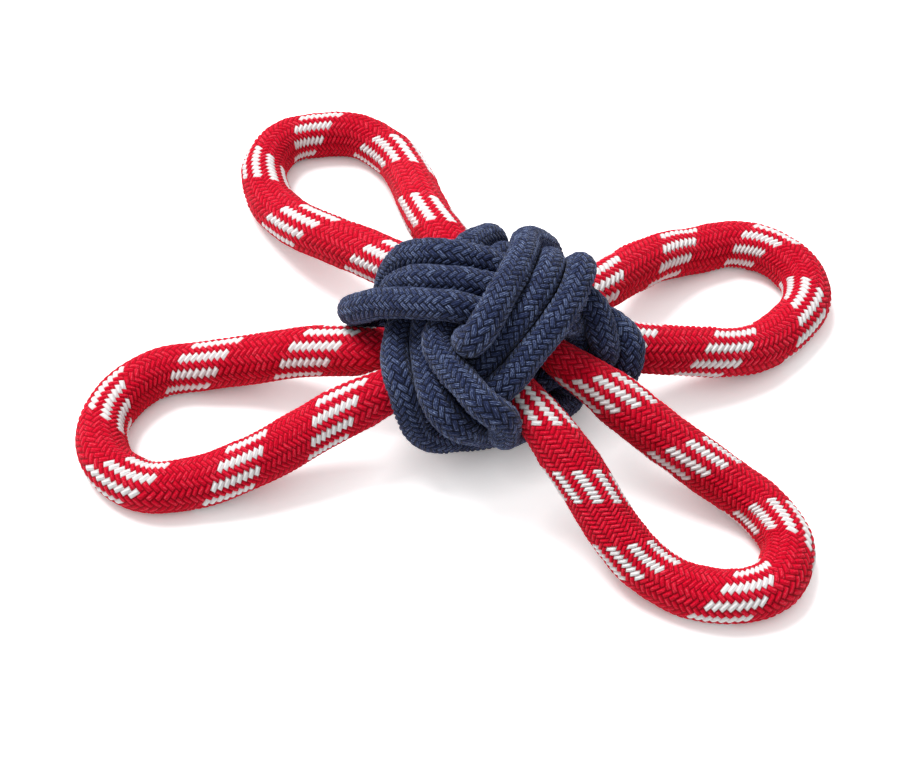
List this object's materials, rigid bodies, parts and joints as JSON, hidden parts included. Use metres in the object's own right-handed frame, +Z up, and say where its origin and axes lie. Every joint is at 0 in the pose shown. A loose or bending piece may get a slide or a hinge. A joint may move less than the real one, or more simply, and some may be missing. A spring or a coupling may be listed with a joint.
{
  "type": "rope dog toy",
  "caption": "Rope toy for dogs: crossed thick braided ropes make open loops round a central knot tied like a monkey's fist.",
  "frame": {"origin": "middle of the footprint, on the surface that the toy lies on", "axes": "+Z up from that surface, +X towards the right loop, +Y towards the back loop"},
  "size_m": [0.286, 0.2774, 0.0752],
  "materials": {
    "red_cover": "matt braided yarn, red with white flecks",
    "rope_core": "undyed laid yarn",
    "navy_braid": "matt braided yarn, heathered navy",
    "red_thread": "tight thread winding",
    "navy_thread": "tight thread winding"
  },
  "bodies": {
    "knot": {"long_rope_front_run_cover": "red_cover", "long_rope_front_run_core": "rope_core", "long_rope_back_run_right_cover": "red_cover", "long_rope_back_run_right_core": "rope_core", "long_rope_back_run_left_cover": "red_cover", "long_rope_back_run_left_core": "rope_core", "cross_rope_right_run_cover": "red_cover", "cross_rope_right_run_core": "rope_core", "cross_rope_left_run_back_cover": "red_cover", "cross_rope_left_run_back_core": "rope_core", "cross_rope_left_run_front_cover": "red_cover", "cross_rope_left_run_front_core": "rope_core", "long_rope_joint_binding": "red_thread", "cross_rope_joint_binding": "red_thread", "navy_monkeys_fist": "navy_braid", "navy_first_end_binding": "navy_thread", "navy_last_end_binding": "navy_thread"},
    "left_loop": {"left_loop_cover": "red_cover", "left_loop_core": "rope_core"},
    "right_loop": {"right_loop_cover": "red_cover", "right_loop_core": "rope_core"},
    "front_loop": {"front_loop_cover": "red_cover", "front_loop_core": "rope_core"},
    "back_loop": {"back_loop_cover": "red_cover", "back_loop_core": "rope_core"}
  },
  "joints": [
    {"name": "left_loop_lift", "type": "hinge", "parent": "knot", "child": "left_loop", "pos_m": [-0.04002, -0.01665, 0.0275], "axis": [0.14, 0.9901, 0], "range_deg": [-30, 55], "stiffness_Nm_per_rad": 0.12, "deforming": ["long_rope_front_run_cover", "long_rope_front_run_core", "long_rope_back_run_left_cover", "long_rope_back_run_left_core"]},
    {"name": "right_loop_lift", "type": "hinge", "parent": "knot", "child": "right_loop", "pos_m": [0.04398, -0.01715, 0.0275], "axis": [0.0849, -0.9964, 0], "range_deg": [-30, 55], "stiffness_Nm_per_rad": 0.12, "deforming": ["long_rope_front_run_cover", "long_rope_front_run_core", "long_rope_back_run_right_cover", "long_rope_back_run_right_core"]},
    {"name": "front_loop_lift", "type": "hinge", "parent": "knot", "child": "front_loop", "pos_m": [0.02398, -0.06365, 0.032], "axis": [-0.889, -0.458, 0], "range_deg": [-30, 55], "stiffness_Nm_per_rad": 0.12, "deforming": ["cross_rope_right_run_cover", "cross_rope_right_run_core", "cross_rope_left_run_front_cover", "cross_rope_left_run_front_core"]},
    {"name": "back_loop_lift", "type": "hinge", "parent": "knot", "child": "back_loop", "pos_m": [-0.00602, 0.01835, 0.037], "axis": [0.9941, 0.108, 0], "range_deg": [-30, 55], "stiffness_Nm_per_rad": 0.12, "deforming": ["cross_rope_right_run_cover", "cross_rope_right_run_core", "cross_rope_left_run_back_cover", "cross_rope_left_run_back_core"]}
  ]
}
